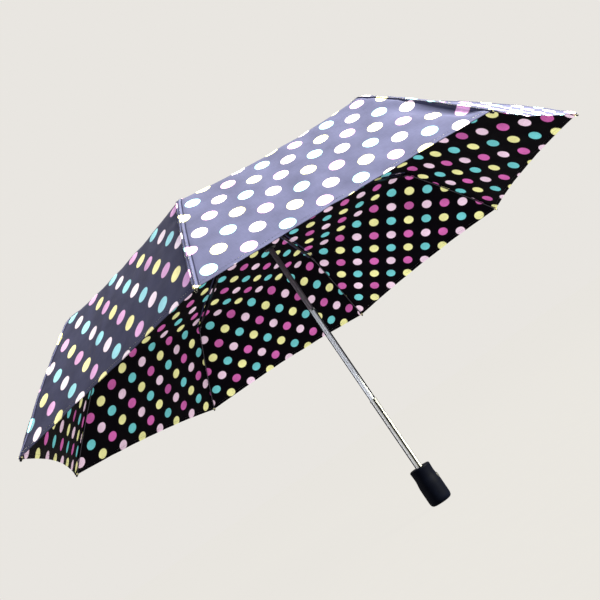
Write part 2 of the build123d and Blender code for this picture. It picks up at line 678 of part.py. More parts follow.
pieces = {
    "handle_grip": make_handle_grip(),
    "handle_core": make_handle_core(),
    "handle_end_cap": make_handle_end_cap(),
    "push_button": make_push_button(),
    "button_spring": make_button_spring(),
    "lower_tube": make_tube(LOWER_TUBE_RADIUS, LOWER_TUBE_BOTTOM, LOWER_TUBE_TOP),
    "lower_tube_collar": make_collar(LOWER_TUBE_RADIUS, LOWER_TUBE_TOP),
    "middle_tube": make_tube(MIDDLE_TUBE_RADIUS, MIDDLE_TUBE_BOTTOM, MIDDLE_TUBE_TOP),
    "middle_tube_collar": make_collar(MIDDLE_TUBE_RADIUS, MIDDLE_TUBE_TOP),
    "top_tube": make_tube(TOP_TUBE_RADIUS, TOP_TUBE_BOTTOM, TOP_TUBE_TOP),
    "top_notch": make_top_notch(),
    "top_notch_ring": make_wire_ring(CROWN_PIVOT_Z),
    "crown_washer": make_crown_washer(),
    "ferrule_cap": make_ferrule_cap(),
    "ferrule_stem": make_ferrule_stem(),
    "runner": make_runner(),
    "runner_ring": make_wire_ring(RUNNER_PIVOT[1]),
}
for number in range(RIB_COUNT):
    rib_azimuth = number * 360 / RIB_COUNT
    pieces[f"top_rib_{number + 1}"] = make_top_rib(rib_azimuth)
    pieces[f"mid_rib_{number + 1}"] = make_mid_rib(rib_azimuth)
    pieces[f"end_rib_{number + 1}"] = make_end_rib(rib_azimuth)
    pieces[f"stretcher_{number + 1}"] = make_stretcher(rib_azimuth)
    pieces[f"canopy_gore_{number + 1}"] = make_gore(rib_azimuth)

for name, piece in pieces.items():
    piece.label = name
    export_step(piece, f"parts/{name}.step")
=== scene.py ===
"""Looks of the children's umbrella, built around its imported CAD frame.

The fabric is the main work: eight gores, each cut where it has to fold (at the two knee
lines and down its middle), so that every piece rides on one rib link and closes with it.
"""
import json
import math

import bpy
from mathutils import Matrix, Vector, noise


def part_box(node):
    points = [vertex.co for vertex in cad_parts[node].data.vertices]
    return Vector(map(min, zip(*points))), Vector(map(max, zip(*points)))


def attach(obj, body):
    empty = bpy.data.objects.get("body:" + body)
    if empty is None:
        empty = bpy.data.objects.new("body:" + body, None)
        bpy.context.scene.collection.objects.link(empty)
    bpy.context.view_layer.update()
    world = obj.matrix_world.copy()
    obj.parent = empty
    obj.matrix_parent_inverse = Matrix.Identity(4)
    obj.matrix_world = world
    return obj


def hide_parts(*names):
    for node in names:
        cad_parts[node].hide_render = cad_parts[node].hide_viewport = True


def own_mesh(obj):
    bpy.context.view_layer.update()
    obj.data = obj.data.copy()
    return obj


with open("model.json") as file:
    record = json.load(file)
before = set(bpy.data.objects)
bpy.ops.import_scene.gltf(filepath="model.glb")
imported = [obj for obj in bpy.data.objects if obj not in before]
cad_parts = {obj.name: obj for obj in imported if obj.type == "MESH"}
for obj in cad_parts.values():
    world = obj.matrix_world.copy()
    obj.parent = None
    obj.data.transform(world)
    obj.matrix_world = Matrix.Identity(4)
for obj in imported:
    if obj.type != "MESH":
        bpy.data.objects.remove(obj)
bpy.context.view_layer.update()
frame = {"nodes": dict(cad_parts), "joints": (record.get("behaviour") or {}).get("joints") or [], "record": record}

JOINTS = {joint["name"]: joint for joint in frame["joints"]}
MATERIAL_SLOTS = {part["node"]: part["material_slot"] for part in frame["record"]["subparts"]}
RIB_COUNT = 8
HALF_GORE = math.pi / RIB_COUNT

# Fabric, in metres. Its size comes from the CAD gores.
_, GORE_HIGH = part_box("canopy_gore_1")
RIM_RADIUS = GORE_HIGH.x
RIM_Z = 0.338
KNEE_RADIUS, KNEE_Z = 0.328, 0.4705
TIP_CAP_RADIUS = 0.4603     # the tip caps begin at this distance from the shaft
INNER_KNEE_RADIUS = math.hypot(*JOINTS["inner_knee_1"]["pos_m"][:2])
CROWN_RADIUS = 0.006
CROWN_Z = GORE_HIGH.z
OUTER_BULGE = 0.003         # rise of the outer arc above its chord
SCALLOP_DEPTH = 0.011       # how far the hem curves in between two tips
KNEE_ROUNDING = 0.009       # the crease over the knees is this soft
CLOTH_THICKNESS = 0.00035
HEM_WIDTH = 0.007
HEM_RISE = 0.00035          # the hem is one layer thicker
SADDLE_DEPTH = 0.006        # the stretched cloth is drawn in between two ribs

# Unevenness: puckers by the seams, soft waves all over, and a pull along the hem
PUCKER_DEPTH, PUCKER_REACH, PUCKER_SCALE = 0.0018, 0.018, 60
WAVE_DEPTH, WAVE_SCALE_ALONG, WAVE_SCALE_ACROSS = 0.0016, 9, 16
HEM_PULL_DEPTH, HEM_PULL_REACH, HEM_PULL_SCALE = 0.0015, 0.03, 5.5
SEED_STEP = 7.31            # keeps the gores from being alike

# One loose pleat, which runs up from a rib tip
PLEAT_GORE = 6              # this gore's second rib tip pulls it
PLEAT_DEPTH = 0.0045
PLEAT_START, PLEAT_LEAN = 0.008, 0.08           # distance from the rib, and its growth
PLEAT_HALF_WIDTH, PLEAT_SPREAD = 0.006, 0.07    # half width, and its growth
PLEAT_GROWS, PLEAT_ENDS = (0.004, 0.03), (0.07, 0.15)   # distances up the rib

# Thread
STITCH_LENGTH, STITCH_WIDTH, STITCH_HEIGHT = 0.0023, 0.0004, 0.00018
STITCH_PITCH = 0.0036
STITCH_TAPER = ((0.0, 0.35), (0.25, 1.0), (0.75, 1.0), (1.0, 0.35))     # place, share of height
SEAM_STITCHES_OFFSET = 0.0018   # from the rib line
SEAM_STITCHES_START = 0.012     # the crown washer hides the cloth up to here
HEM_STITCHES_INSET = 0.0016     # from the hem's inner edge
HEM_STITCHES_START = 0.006      # from the rib line

# Printed dots: a square lattice set diagonally to the hem
DOT_STEP = 0.0228           # half the distance between two dots in a row along the hem
DOT_RADIUS = 0.27           # as a share of the distance between neighbours


# ---------------------------------------------------------------- fabric surface
def arc_through(start, end, bulge):
    """Centre, radius and the two end angles of an arc that rises above its chord."""
    dx, dz = end[0] - start[0], end[1] - start[1]
    chord = math.hypot(dx, dz)
    radius = chord * chord / (8 * bulge) + bulge / 2
    nx, nz = -dz / chord, dx / chord
    cx = (start[0] + end[0]) / 2 + nx * (bulge - radius)
    cz = (start[1] + end[1]) / 2 + nz * (bulge - radius)
    first = math.atan2(start[1] - cz, start[0] - cx)
    last = math.atan2(end[1] - cz, end[0] - cx)
    return (cx, cz), radius, first, last


ARC_CENTRE, ARC_RADIUS, ARC_FIRST, ARC_LAST = arc_through(
    (KNEE_RADIUS, KNEE_Z), (RIM_RADIUS, RIM_Z), OUTER_BULGE)
KNEE_AT = math.hypot(KNEE_RADIUS - CROWN_RADIUS, CROWN_Z - KNEE_Z)
RIM_AT = KNEE_AT + ARC_RADIUS * (ARC_FIRST - ARC_LAST)
INNER_CUT_AT = KNEE_AT * (INNER_KNEE_RADIUS - CROWN_RADIUS) / (KNEE_RADIUS - CROWN_RADIUS)


def sharp_profile(at):
    """Radius and height of the cloth in a rib plane, at a distance from the crown hole."""
    if at <= KNEE_AT:
        t = at / KNEE_AT
        return (CROWN_RADIUS + t * (KNEE_RADIUS - CROWN_RADIUS),
                CROWN_Z + t * (KNEE_Z - CROWN_Z))
    angle = ARC_FIRST - (at - KNEE_AT) / ARC_RADIUS
    return (ARC_CENTRE[0] + ARC_RADIUS * math.cos(angle),
            ARC_CENTRE[1] + ARC_RADIUS * math.sin(angle))


def profile(at):
    """The same, with the crease at the knee softened."""
    if abs(at - KNEE_AT) >= KNEE_ROUNDING:
        return sharp_profile(at)
    reach = KNEE_ROUNDING - abs(at - KNEE_AT)
    points = [sharp_profile(at + reach * k / 2) for k in (-2, -1, 0, 1, 2)]
    return sum(p[0] for p in points) / 5, sum(p[1] for p in points) / 5


def flat_heights(steps=120):
    """Distance up the middle of a flat gore from its hem chord, for each profile step."""
    shrink = math.cos(HALF_GORE)
    heights, total = [], 0.0
    last = profile(RIM_AT)
    for k in range(steps + 1):
        now = profile(RIM_AT * (1 - k / steps))
        total += math.hypot((now[0] - last[0]) * shrink, now[1] - last[1])
        heights.append(total)
        last = now
    return heights


FLAT_HEIGHTS = flat_heights()


def flat_height(at):
    place = max(0.0, min(1.0, 1 - at / RIM_AT)) * (len(FLAT_HEIGHTS) - 1)
    k = min(int(place), len(FLAT_HEIGHTS) - 2)
    return FLAT_HEIGHTS[k] + (place - k) * (FLAT_HEIGHTS[k + 1] - FLAT_HEIGHTS[k])


def smooth(low, high, value):
    t = max(0.0, min(1.0, (value - low) / (high - low)))
    return t * t * (3 - 2 * t)


def tip_pleat(gore, at, u):
    """Depth of the loose pleat that runs to one rib tip, where the hem is sewn down."""
    if gore != PLEAT_GORE:
        return 0.0
    radius = profile(at)[0]
    from_rib = (1 - u) * radius * math.sin(HALF_GORE)
    up_rib = RIM_AT - at
    from_valley = from_rib - (PLEAT_START + PLEAT_LEAN * up_rib)
    width = PLEAT_HALF_WIDTH + PLEAT_SPREAD * up_rib
    along_fade = smooth(*PLEAT_GROWS, up_rib) * (1 - smooth(*PLEAT_ENDS, up_rib))
    fade = along_fade * smooth(0, PLEAT_HALF_WIDTH, from_rib)
    return -PLEAT_DEPTH * fade * math.exp(-(from_valley / width) ** 2)


def relief(gore, at, u):
    """How far the cloth stands out from the straight chord between two ribs."""
    radius = profile(at)[0]
    inside = 1 - u * u
    drawn = -SADDLE_DEPTH * smooth(0.1, 0.9, radius / RIM_RADIUS) * inside
    from_rib = (1 - abs(u)) * radius * math.sin(HALF_GORE)
    seed = gore * SEED_STEP
    puckers = noise.noise(Vector((at * PUCKER_SCALE, seed, math.copysign(3, u))))
    pucker_fade = math.exp(-from_rib / PUCKER_REACH) * smooth(0, 0.003, from_rib)
    waves = noise.noise(Vector((at * WAVE_SCALE_ALONG + seed, u * radius * WAVE_SCALE_ACROSS, seed)))
    hem_fade = math.exp(-(RIM_AT - at) / HEM_PULL_REACH)
    hem_pull = hem_fade * noise.noise(Vector((u * HEM_PULL_SCALE, seed, 2.0)))
    uneven = (PUCKER_DEPTH * puckers * pucker_fade + WAVE_DEPTH * waves * inside
              + HEM_PULL_DEPTH * hem_pull * inside)
    return drawn + uneven + tip_pleat(gore, at, u)


def gore_axes(gore):
    """Directions out along the middle of a gore and across it."""
    middle = (gore + 0.5) * 2 * HALF_GORE
    out = Vector((math.cos(middle), math.sin(middle), 0))
    across = Vector((-math.sin(middle), math.cos(middle), 0))
    return out, across


def plain_point(gore, at, u):
    """Point of the ruled surface between two ribs, u from -1 to 1 with the azimuth."""
    out, across = gore_axes(gore)
    radius, height = profile(at)
    return (out * (radius * math.cos(HALF_GORE)) + across * (u * radius * math.sin(HALF_GORE))
            + Vector((0, 0, height)))


def plain_normal(gore, at):
    step = 0.001
    out, _ = gore_axes(gore)
    a, b = profile(at - step), profile(at + step)
    run, rise = (b[0] - a[0]) * math.cos(HALF_GORE), b[1] - a[1]
    return (out * -rise + Vector((0, 0, run))).normalized()


def cloth_point(gore, at, u):
    return plain_point(gore, at, u) + plain_normal(gore, at) * relief(gore, at, u)


def cloth_normal(gore, at, u):
    """Normal of the finished cloth, which the pieces on both sides of a cut share."""
    step_at, step_u = 0.0015, 0.012
    low_u, high_u = max(-1, u - step_u), min(1, u + step_u)
    along = cloth_point(gore, at + step_at, u) - cloth_point(gore, at - step_at, u)
    over = cloth_point(gore, at, high_u) - cloth_point(gore, at, low_u)
    return along.cross(over).normalized()


def hem_at(u):
    """Where the scalloped hem ends the cloth."""
    return RIM_AT - SCALLOP_DEPTH * (1 - u * u)


SEGMENTS = {
    # name: (first and last distance along the profile, body, mesh rows, width kept when folded)
    "crown": (0.0, INNER_CUT_AT, "top_rib", 14, 0.045),
    "mid": (INNER_CUT_AT, KNEE_AT, "mid_rib", 12, 0.03),
    "hem": (KNEE_AT, None, "end_rib", 22, 0.07),    # ends at the scalloped hem
}

# Felled seam: a low ridge on each side of the rib line, and a crease beside the ridge
SEAM_RISE, SEAM_CREASE = 0.0009, 0.0013
RIDGE_UP, RIDGE_DOWN = (0, 0.0013), (0.0025, 0.0032)        # distances from the rib line
CREASE_DOWN, CREASE_UP = (0.0026, 0.0039), (0.0039, 0.0062)

# Mesh: columns lie close together by the seam, and rows by the hem
SEAM_COLUMNS = (0.0, 0.0006, 0.0013, 0.0025, 0.0032, 0.0039, 0.0049, 0.0062, 0.011, 0.016, 0.023)
OPEN_COLUMNS = 9
HEM_ROWS = (0.0006, HEM_WIDTH - 0.0006, HEM_WIDTH)
HEM_STEP = 0.0008           # the row before the hem lies this far above it


def column_distances(half_width):
    """Distances from the rib of the mesh columns, in a row of this half width."""
    near = [min(d, half_width * (k + 1) / (len(SEAM_COLUMNS) + OPEN_COLUMNS))
            for k, d in enumerate(SEAM_COLUMNS)]
    near[0] = 0.0
    last = near[-1]
    far = [last + (half_width - last) * (k + 1) / OPEN_COLUMNS for k in range(OPEN_COLUMNS)]
    return near + far


def row_place(segment, row, u):
    """Distance along the profile of a mesh row, where the row crosses u."""
    first, last, _, rows, _ = SEGMENTS[segment]
    if last:
        return first + (last - first) * row / rows
    hem_start = hem_at(u) - HEM_WIDTH
    inner_rows = rows - len(HEM_ROWS)
    if row <= inner_rows:
        return first + (hem_start - HEM_STEP - first) * row / inner_rows
    return hem_start + HEM_ROWS[row - inner_rows - 1]


def seam_rise(distance):
    """Height of the seam's relief, at a distance from the rib line."""
    ridge = smooth(*RIDGE_UP, distance) * (1 - smooth(*RIDGE_DOWN, distance))
    crease = smooth(*CREASE_DOWN, distance) * (1 - smooth(*CREASE_UP, distance))
    return SEAM_RISE * ridge - SEAM_CREASE * crease


def seam_tilt(gore, normal, side, distance):
    """The cloth's normal, tilted by the slope of the seam.

    On the rib line it stays as it is, because the next gore shares it.
    """
    if distance <= 0:
        return normal
    step = 0.0003
    slope = (seam_rise(distance + step) - seam_rise(max(0.0, distance - step))) / (2 * step)
    _, across = gore_axes(gore)
    return (normal + across * (side * slope)).normalized()


def hem_rise(at, end):
    """Height of the hem, whose edge is at the end."""
    return HEM_RISE * smooth(HEM_WIDTH + HEM_ROWS[0], HEM_WIDTH, end - at)


# How each gore was cut from the printed cloth: shift in metres, turn in degrees, stretch.
# The shifts also settle which of the four dot colours comes first.
GORE_CUTS = [
    (0.0440, 0.0186, -1.0, 1.077),
    (0.0110, 0.0087, 0.6, 0.993),
    (0.0218, 0.0113, 1.2, 0.977),
    (0.0531, 0.0523, 0.5, 0.996),
    (0.0415, 0.0568, -0.3, 1.004),
    (0.0220, 0.0599, -2.5, 1.025),
    (0.0289, -0.0248, 2.7, 1.003),
    (0.0288, -0.0108, -1.5, 1.0),
]


def flat_place(gore, at, u):
    """Place of a point of this gore on the printed cloth, in metres."""
    shift_x, shift_y, turn, stretch = GORE_CUTS[gore]
    x, y = -u * profile(at)[0] * math.sin(HALF_GORE), flat_height(at)
    c, s = math.cos(math.radians(turn)), math.sin(math.radians(turn))
    return (c * x - s * y) / stretch + shift_x, (s * x + c * y) / stretch + shift_y


class Sheet:
    """Vertices, faces, normals, flat places and material slots of one piece."""

    def __init__(self):
        self.points, self.normals, self.places = [], [], []
        self.faces, self.slots = [], []

    def add(self, point, normal, place):
        self.points.append(point)
        self.normals.append(normal)
        self.places.append(place)
        return len(self.points) - 1

    def face(self, corners, slot):
        self.faces.append(corners)
        self.slots.append(slot)

    def tube(self, path, radius, axis, slot, sides=6):
        """Round thread along a path that winds about an axis."""
        rings = []
        for k, centre in enumerate(path):
            tangent = (path[min(k + 1, len(path) - 1)] - path[max(k - 1, 0)]).normalized()
            side = tangent.cross(axis).normalized()
            up = tangent.cross(side)
            turns = [math.tau * n / sides for n in range(sides)]
            spokes = [side * math.cos(turn) + up * math.sin(turn) for turn in turns]
            rings.append([self.add(centre + spoke * radius, spoke, (0, 0)) for spoke in spokes])
        for a, b in zip(rings, rings[1:]):
            for n in range(sides):
                m = (n + 1) % sides
                self.face((a[n], a[m], b[m], b[n]), slot)
        self.face(tuple(reversed(rings[0])), slot)
        self.face(tuple(rings[-1]), slot)

    def bar(self, start, end, up, width, height, place, slot):
        """A thread: a low four-sided bar with tapered ends, half sunk in the cloth."""
        along = (end - start).normalized()
        side = up.cross(along).normalized() * (width / 2)
        rows = []
        for t, grow in STITCH_TAPER:
            centre = start.lerp(end, t)
            lift = up * (height * grow)
            rows.append([self.add(centre + p, n, place) for p, n in (
                (side, side.normalized()), (lift, up),
                (-side, -side.normalized()), (up * -height * 0.5, -up))])
        for a, b in zip(rows, rows[1:]):
            for k in range(4):
                self.face((a[k], b[k], b[(k + 1) % 4], a[(k + 1) % 4]), slot)
        self.face(tuple(rows[0]), slot)
        self.face(tuple(reversed(rows[-1])), slot)


OUTER, INNER, THREAD = 0, 1, 2
INNER_SHARE = 0.6           # how much of a rise shows on the inner face


def cloth_piece(gore, segment, side):
    """Half of a gore between two cuts; side is -1 by the first rib and 1 by the next."""
    first, last, body, rows, keep = SEGMENTS[segment]
    sheet = Sheet()
    grid = {}
    columns = len(SEAM_COLUMNS) + OPEN_COLUMNS
    for i in range(rows + 1):
        even_at = first + ((last or RIM_AT) - first) * i / rows
        half_width = profile(even_at)[0] * math.sin(HALF_GORE)
        for j, distance in enumerate(column_distances(half_width)):
            u = side * (1 - distance / half_width)
            at = row_place(segment, i, u)
            rise = seam_rise(distance)
            if not last:
                rise = max(rise, hem_rise(at, hem_at(u)))
            point, normal = cloth_point(gore, at, u), cloth_normal(gore, at, u)
            place = flat_place(gore, at, u)
            tilted = seam_tilt(gore, normal, side, distance)
            grid[i, j, OUTER] = sheet.add(point + normal * rise, tilted, place)
            inner_point = point - normal * (CLOTH_THICKNESS + rise * INNER_SHARE)
            grid[i, j, INNER] = sheet.add(inner_point, -normal, place)
    order = (0, 1, 2, 3) if side < 0 else (3, 2, 1, 0)
    for i in range(rows):
        for j in range(columns - 1):
            ring = ((i, j), (i + 1, j), (i + 1, j + 1), (i, j + 1))
            corners = [ring[k] for k in order]
            sheet.face(tuple(grid[a, b, OUTER] for a, b in corners), OUTER)
            sheet.face(tuple(grid[a, b, INNER] for a, b in reversed(corners)), INNER)
    close_edges(sheet, grid, rows, columns, order)
    add_seam_stitches(sheet, gore, segment, side)
    if not last:
        add_hem_stitches(sheet, gore, side)
    return sheet, body, keep


def close_edges(sheet, grid, rows, columns, order):
    """Narrow faces that join the two skins all round."""
    rim = [(i, 0) for i in range(rows)]
    rim += [(rows, j) for j in range(columns - 1)]
    rim += [(i, columns - 1) for i in range(rows, 0, -1)]
    rim += [(0, j) for j in range(columns - 1, 0, -1)]
    for a, b in zip(rim, rim[1:] + rim[:1]):
        face = (grid[*a, OUTER], grid[*a, INNER], grid[*b, INNER], grid[*b, OUTER])
        sheet.face(face if order[0] == 0 else tuple(reversed(face)), OUTER)


def add_seam_stitches(sheet, gore, segment, side):
    """Row of thread on the ridge of the seam."""
    first, last, *_ = SEGMENTS[segment]
    end = last if last else RIM_AT - HEM_WIDTH
    at = max(first, SEAM_STITCHES_START) + STITCH_PITCH / 2
    while at + STITCH_LENGTH < end:
        ends = []
        for place in (at, at + STITCH_LENGTH):
            u = side * (1 - SEAM_STITCHES_OFFSET / (profile(place)[0] * math.sin(HALF_GORE)))
            lift = cloth_normal(gore, place, u) * SEAM_RISE
            ends.append(cloth_point(gore, place, u) + lift)
        up = cloth_normal(gore, at, side * 0.98)
        sheet.bar(*ends, up, STITCH_WIDTH, STITCH_HEIGHT, flat_place(gore, at, side), THREAD)
        at += STITCH_PITCH


def add_hem_stitches(sheet, gore, side):
    """Row of thread along the hem, on both faces."""
    hem_half = RIM_RADIUS * math.sin(HALF_GORE)
    distance = HEM_STITCHES_START
    while distance + STITCH_LENGTH < hem_half:
        for face, off in ((1, HEM_RISE), (-1, -CLOTH_THICKNESS - 0.0002)):
            ends = []
            for d in (distance, distance + STITCH_LENGTH):
                u = side * (1 - d / hem_half)
                place = hem_at(u) - HEM_WIDTH + HEM_STITCHES_INSET
                ends.append(cloth_point(gore, place, u) + cloth_normal(gore, place, u) * off)
            up = cloth_normal(gore, hem_at(u), u) * face
            sheet.bar(*ends, up, STITCH_WIDTH, STITCH_HEIGHT, flat_place(gore, place, u), THREAD)
        distance += STITCH_PITCH


def mesh_object(name, sheet, materials):
    mesh = bpy.data.meshes.new(name)
    mesh.from_pydata([tuple(p) for p in sheet.points], [], sheet.faces)
    for material in materials:
        mesh.materials.append(material)
    mesh.polygons.foreach_set("material_index", sheet.slots)
    mesh.polygons.foreach_set("use_smooth", [True] * len(sheet.faces))
    flat = mesh.uv_layers.new(name="flat_cloth")
    for loop in mesh.loops:
        flat.data[loop.index].uv = sheet.places[loop.vertex_index]
    mesh.normals_split_custom_set_from_vertices([tuple(n) for n in sheet.normals])
    thing = bpy.data.objects.new(name, mesh)
    bpy.context.scene.collection.objects.link(thing)
    return thing


SAG_SHARE = 0.65            # the fold's direction is taken this far down a piece


def fold_axis(gore, segment, side):
    """The direction in which a piece gathers, and the point that stays.

    It points across the rib to the sagging middle of the gore.
    """
    first, last, *_ = SEGMENTS[segment]
    last = last or RIM_AT
    low, high = plain_point(gore, first, side), plain_point(gore, last, side)
    along = (high - low).normalized()
    sag = cloth_point(gore, (1 - SAG_SHARE) * first + SAG_SHARE * last, 0)
    over = sag - low.lerp(high, SAG_SHARE)
    return (over - along * over.dot(along)).normalized(), low.lerp(high, 0.5)


def flat_size(segment):
    """Width, length and area of half a gore's flat cut between two cuts."""
    first, last, *_ = SEGMENTS[segment]
    widths = [profile(at)[0] * math.sin(HALF_GORE) for at in (first, last or RIM_AT)]
    length = flat_height(first) - flat_height(last or RIM_AT)
    area = length * sum(widths) / 2
    if not last:
        area -= SCALLOP_DEPTH * widths[1] * 2 / 3
    return (max(widths), length), area


# ---------------------------------------------------------------- node materials
def srgb(r, g, b):
    def linear(c):
        c /= 255
        return c / 12.92 if c <= 0.04045 else ((c + 0.055) / 1.055) ** 2.4
    return (linear(r), linear(g), linear(b), 1.0)


class Nodes:
    """Short words for building a node material."""

    def __init__(self, name, material=None):
        self.material = material or bpy.data.materials.new(name)
        self.material.use_nodes = True
        self.tree = self.material.node_tree
        self.shader = self.tree.nodes["Principled BSDF"]

    @classmethod
    def around(cls, material):
        return cls(material.name, material)

    def new(self, kind, **settings):
        node = self.tree.nodes.new(kind)
        for key, value in settings.items():
            setattr(node, key, value)
        return node

    def feed(self, socket, value):
        if isinstance(value, bpy.types.NodeSocket):
            self.tree.links.new(value, socket)
        else:
            socket.default_value = value

    def maths(self, operation, a, b=0.0):
        node = self.new("ShaderNodeMath", operation=operation)
        self.feed(node.inputs[0], a)
        self.feed(node.inputs[1], b)
        return node.outputs[0]

    def mix(self, share, a, b):
        node = self.new("ShaderNodeMix", data_type="RGBA")
        self.feed(node.inputs[0], share)
        self.feed(node.inputs[6], a)
        self.feed(node.inputs[7], b)
        return node.outputs[2]

    def spread(self, value, low, high, to_low, to_high, smoothly=False):
        node = self.new("ShaderNodeMapRange",
                        interpolation_type="SMOOTHSTEP" if smoothly else "LINEAR")
        for socket, number in zip(node.inputs, (value, low, high, to_low, to_high)):
            self.feed(socket, number)
        return node.outputs[0]

    def place(self, kind):
        return self.new("ShaderNodeTexCoord").outputs[kind]

    def noise(self, where, scale, detail, stretch=(1, 1, 1)):
        mapping = self.new("ShaderNodeMapping")
        self.feed(mapping.inputs[0], where)
        mapping.inputs["Scale"].default_value = stretch
        node = self.new("ShaderNodeTexNoise")
        self.feed(node.inputs["Vector"], mapping.outputs[0])
        node.inputs["Scale"].default_value = scale
        node.inputs["Detail"].default_value = detail
        return node.outputs["Fac"]

    def bump(self, height, strength, distance):
        node = self.new("ShaderNodeBump")
        node.inputs["Strength"].default_value = strength
        node.inputs["Distance"].default_value = distance
        self.feed(node.inputs["Height"], height)
        self.feed(self.shader.inputs["Normal"], node.outputs[0])

    def set(self, **values):
        for name, value in values.items():
            self.feed(self.shader.inputs[name.replace("_", " ")], value)


# Noise scales, per metre
MOTTLE_SCALE, WEAVE_SCALE, GLOSS_SCALE = 26, 900, 60
THREAD_SCALE = 2600
STREAK_SCALE, TARNISH_SCALE = 120, 30
RUBBED_SCALE = 90
DOT_SOFTNESS = 0.018        # half the blur of a dot's edge, in the lattice's steps


def dot_mask(nodes):
    """(mask of the printed dots, column parity, row parity) from the flat cloth's place."""
    split = nodes.new("ShaderNodeSeparateXYZ")
    nodes.feed(split.inputs[0], nodes.place("UV"))
    x, y = split.outputs[0], split.outputs[1]
    i = nodes.maths("DIVIDE", nodes.maths("SUBTRACT", x, y), 2 * DOT_STEP)
    j = nodes.maths("DIVIDE", nodes.maths("ADD", x, y), 2 * DOT_STEP)
    i_near, j_near = nodes.maths("ROUND", i), nodes.maths("ROUND", j)
    di, dj = nodes.maths("SUBTRACT", i, i_near), nodes.maths("SUBTRACT", j, j_near)
    squared = nodes.maths("ADD", nodes.maths("MULTIPLY", di, di), nodes.maths("MULTIPLY", dj, dj))
    distance = nodes.maths("SQRT", squared)
    mask = nodes.spread(distance, DOT_RADIUS - DOT_SOFTNESS, DOT_RADIUS + DOT_SOFTNESS, 1.0, 0.0, True)
    return (mask, nodes.maths("FLOORED_MODULO", i_near, 2.0),
            nodes.maths("FLOORED_MODULO", j_near, 2.0))


def fabric_material(name, ground, dots, roughness, gloss):
    """Coated woven polyester with printed dots, seen from one side."""
    nodes = Nodes(name)
    mask, column, row = dot_mask(nodes)
    cyan, yellow, pale_pink, magenta = dots
    printed = nodes.mix(row, nodes.mix(column, cyan, yellow), nodes.mix(column, pale_pink, magenta))
    where = nodes.place("UV")
    mottle = nodes.noise(where, MOTTLE_SCALE, 4)
    shade = nodes.spread(mottle, 0.3, 0.7, 0.82, 1.16)
    weft = nodes.noise(where, WEAVE_SCALE, 1, (1, 0.12, 1))
    warp = nodes.noise(where, WEAVE_SCALE, 1, (0.12, 1, 1))
    weave = nodes.maths("ADD", weft, warp)
    shade = nodes.maths("MULTIPLY", shade, nodes.spread(weave, 0.7, 1.3, 0.93, 1.07))
    colour = nodes.mix(mask, ground, printed)
    shaded = nodes.new("ShaderNodeVectorMath", operation="SCALE")
    nodes.feed(shaded.inputs[0], colour)
    nodes.feed(shaded.inputs["Scale"], shade)
    height = nodes.maths("ADD", weave, nodes.maths("MULTIPLY", mask, 0.35))
    nodes.bump(height, 0.25, 0.0002)
    patches = nodes.noise(where, GLOSS_SCALE, 3)
    rough = nodes.spread(patches, 0.3, 0.7, roughness - 0.05, roughness + 0.06)
    nodes.set(Base_Color=shaded.outputs[0], Roughness=rough, Specular_IOR_Level=gloss)
    return nodes.material


def thread_material(name, dark, light):
    """Twisted thread, mottled between two colours."""
    nodes = Nodes(name)
    twist = nodes.noise(nodes.place("Object"), THREAD_SCALE, 2)
    colour = nodes.mix(twist, dark, light)
    nodes.bump(twist, 0.3, 0.0001)
    nodes.set(Base_Color=colour, Roughness=0.7, Sheen_Weight=0.3)
    return nodes.material


def painted_dark_edges(nodes, where, count, first, width):
    """Share of painted dark reflection: dark lines along Z, evenly spaced round the tube.

    The first line lies at so many degrees from +X, which puts the dark lines on the tube's sides as seen from the
    front. The width is a share of the tube.
    """
    split = nodes.new("ShaderNodeSeparateXYZ")
    nodes.feed(split.inputs[0], where)
    azimuth = nodes.maths("ARCTAN2", split.outputs[1], split.outputs[0])
    turn = nodes.maths("SUBTRACT", azimuth, math.radians(first))
    wave = nodes.maths("SINE", nodes.maths("MULTIPLY", turn, count / 2))
    return nodes.spread(nodes.maths("ABSOLUTE", wave), width * 0.4, width, 1.0, 0.0)


def metal_material(name, colour, roughness, streak, scratch, edge=0.5, dark_edges_round=None):
    """Plated or drawn steel, with a little tarnish.

    The smaller the streak, the longer the streaks along Z. Scratch is the depth of their
    relief, edge the brightness at grazing angles, and the last argument places painted dark reflections: dark
    lines down the tube's sides.
    """
    nodes = Nodes(name)
    where = nodes.place("Object")
    lines = nodes.noise(where, STREAK_SCALE, 1, (1, 1, streak))
    tarnish = nodes.noise(where, TARNISH_SCALE, 1, (1, 1, 0.2))
    tint = nodes.mix(nodes.spread(tarnish, 0.42, 0.72, 0.0, 0.2), colour,
                     tuple(c * 0.6 for c in colour[:3]) + (1,))
    if dark_edges_round:
        # Painted dark reflections: near-black lines down the tube's sides
        tint = nodes.mix(painted_dark_edges(nodes, where, *dark_edges_round), tint, srgb(14, 15, 18))
    rough = nodes.spread(lines, 0.25, 0.75, roughness - 0.02, roughness + 0.03)
    if scratch:
        nodes.bump(lines, scratch, 0.00005)
    nodes.set(Base_Color=tint, Metallic=1.0, Roughness=rough, Specular_Tint=(edge, edge, edge, 1))
    return nodes.material


def end_rib_material():
    """Dark wire whose far end is a black moulded cap."""
    material = metal_material("end_rib_steel", srgb(74, 72, 80), 0.3, 0.2, 0.05, 0.3)
    nodes = Nodes.around(material)
    split = nodes.new("ShaderNodeSeparateXYZ")
    nodes.feed(split.inputs[0], nodes.place("Object"))
    x, y = split.outputs[0], split.outputs[1]
    squared = nodes.maths("ADD", nodes.maths("MULTIPLY", x, x), nodes.maths("MULTIPLY", y, y))
    capped = nodes.maths("GREATER_THAN", nodes.maths("SQRT", squared), TIP_CAP_RADIUS)
    steel = nodes.shader.inputs["Base Color"].links[0].from_socket
    nodes.feed(nodes.shader.inputs["Base Color"], nodes.mix(capped, steel, srgb(9, 9, 11)))
    nodes.feed(nodes.shader.inputs["Metallic"], nodes.maths("SUBTRACT", 1.0, capped))
    return material


